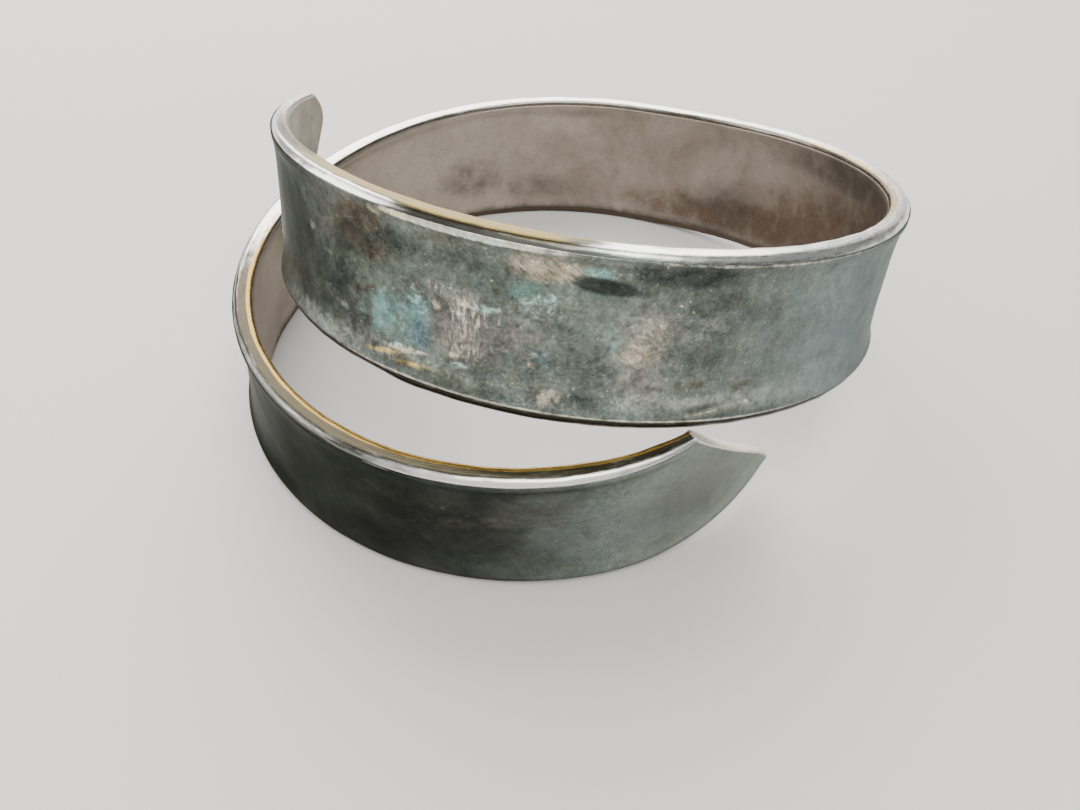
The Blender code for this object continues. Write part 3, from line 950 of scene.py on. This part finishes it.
def require_fit(shape):
    """Stop if the coil's numbers no longer agree with the CAD frame."""
    turn = np.linspace(shape.start_turn + 5.0, shape.end_turn - 20.0, 400)
    line = lower_line(shape, turn)
    low, high = (np.array(corner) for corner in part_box("lower_edge_wire"))
    if (line.min(0) < low - FRAME_SLACK).any() or (line.max(0) > high + FRAME_SLACK).any():
        raise RuntimeError("the coil's shape doesn't agree with the packed frame")


class BANGLE_OT_add_sheet(Operator):
    """Add the hammered sheet strip"""

    bl_idname = "bangle.add_sheet"
    bl_label = "Add Sheet"

    def execute(self, context):
        shape = context.scene.bangle_shape
        require_fit(shape)
        finish = tarnished_sheet_silver(context.scene.bangle_finish)
        put_on_bangle(sheet_mesh(shape), finish, "tarnished_sheet_silver", "band_strip")
        return {"FINISHED"}


class BANGLE_OT_add_edge_wires(Operator):
    """Add the two wires that run along the sheet's edges"""

    bl_idname = "bangle.add_edge_wires"
    bl_label = "Add Edge Wires"

    def execute(self, context):
        shape = context.scene.bangle_shape
        finish = worn_silver_wire(context.scene.bangle_finish)
        for name, edge, node in (("lower_rim", 0.0, "lower_edge_wire"),
                                 ("upper_rim", 1.0, "upper_edge_wire")):
            put_on_bangle(wire_mesh(shape, name, edge), finish, "worn_silver_wire", node)
        return {"FINISHED"}


def plain(name, hex_colour, roughness):
    """Matte one-colour material for the floor."""
    material = bpy.data.materials.new(name)
    material.use_nodes = True
    shader = material.node_tree.nodes["Principled BSDF"]
    shader.inputs["Base Color"].default_value = (*linear(hex_colour), 1.0)
    shader.inputs["Roughness"].default_value = roughness
    return material


def soft_light(name, place, width, power):
    """A square softbox that faces the lit point."""
    light = bpy.data.lights.new(name, "AREA")
    light.shape = "SQUARE"
    light.size = width
    light.energy = power
    lamp = bpy.data.objects.new(name, light)
    lamp.location = place
    facing = Vector(LIT_POINT) - Vector(place)
    lamp.rotation_euler = facing.to_track_quat("-Z", "Y").to_euler()
    bpy.context.scene.collection.objects.link(lamp)


class BANGLE_OT_add_stage(Operator):
    """Add the floor, the studio lights and the camera"""

    bl_idname = "bangle.add_stage"
    bl_label = "Add Stage"

    def execute(self, context):
        scene = context.scene
        mesh = bpy.data.meshes.new("floor")
        corners = ((-1, -1), (1, -1), (1, 1), (-1, 1))
        mesh.from_pydata([(FLOOR_HALF * x, FLOOR_HALF * y, 0) for x, y in corners], [],
                         [(0, 1, 2, 3)])
        mesh.materials.append(plain("pale_floor", "#cfccc7", 0.8))
        floor = bpy.data.objects.new("floor", mesh)
        floor.location.z = -FLOOR_DROP
        scene.collection.objects.link(floor)
        for light in LIGHTS:
            soft_light(*light)
        world = bpy.data.worlds.new("studio")
        world.use_nodes = True
        sky = world.node_tree.nodes["Background"]
        sky.inputs["Color"].default_value = SKY
        sky.inputs["Strength"].default_value = SKY_STRENGTH
        scene.world = world
        camera_data = bpy.data.cameras.new("camera")
        camera_data.sensor_width = 36.0
        camera_data.lens = CAMERA_LENS
        camera_data.clip_start = 0.005
        camera = bpy.data.objects.new("camera", camera_data)
        pitch, roll = math.radians(CAMERA_PITCH), math.radians(CAMERA_ROLL)
        camera.matrix_world = (Matrix.Translation(CAMERA_PLACE)
                               @ Matrix.Rotation(math.pi / 2 - pitch, 4, "X")
                               @ Matrix.Rotation(roll, 4, "Z"))
        scene.collection.objects.link(camera)
        scene.camera = camera
        return {"FINISHED"}


class BANGLE_PT_pieces(Panel):
    """Buttons for the bangle's pieces"""

    bl_idname = "BANGLE_PT_pieces"
    bl_label = "Wrap Bangle"
    bl_space_type = "VIEW_3D"
    bl_region_type = "UI"
    bl_category = "Bangle"

    def draw(self, context):
        for operator in OPERATORS:
            self.layout.operator(operator.bl_idname)


OPERATORS = (BANGLE_OT_add_stage, BANGLE_OT_add_sheet, BANGLE_OT_add_edge_wires)
CLASSES = (BangleShape, BangleFinish, *OPERATORS, BANGLE_PT_pieces)


def register():
    """Register the classes and hang the settings on the scene."""
    for item in CLASSES:
        bpy.utils.register_class(item)
    bpy.types.Scene.bangle_shape = PointerProperty(type=BangleShape)
    bpy.types.Scene.bangle_finish = PointerProperty(type=BangleFinish)


def unregister():
    """Undo register."""
    del bpy.types.Scene.bangle_finish
    del bpy.types.Scene.bangle_shape
    for item in reversed(CLASSES):
        bpy.utils.unregister_class(item)


def main():
    """Build the bangle and its stage."""
    register()
    bpy.ops.bangle.add_stage()
    bpy.ops.bangle.add_sheet()
    bpy.ops.bangle.add_edge_wires()


if __name__ == "__main__":
    main()
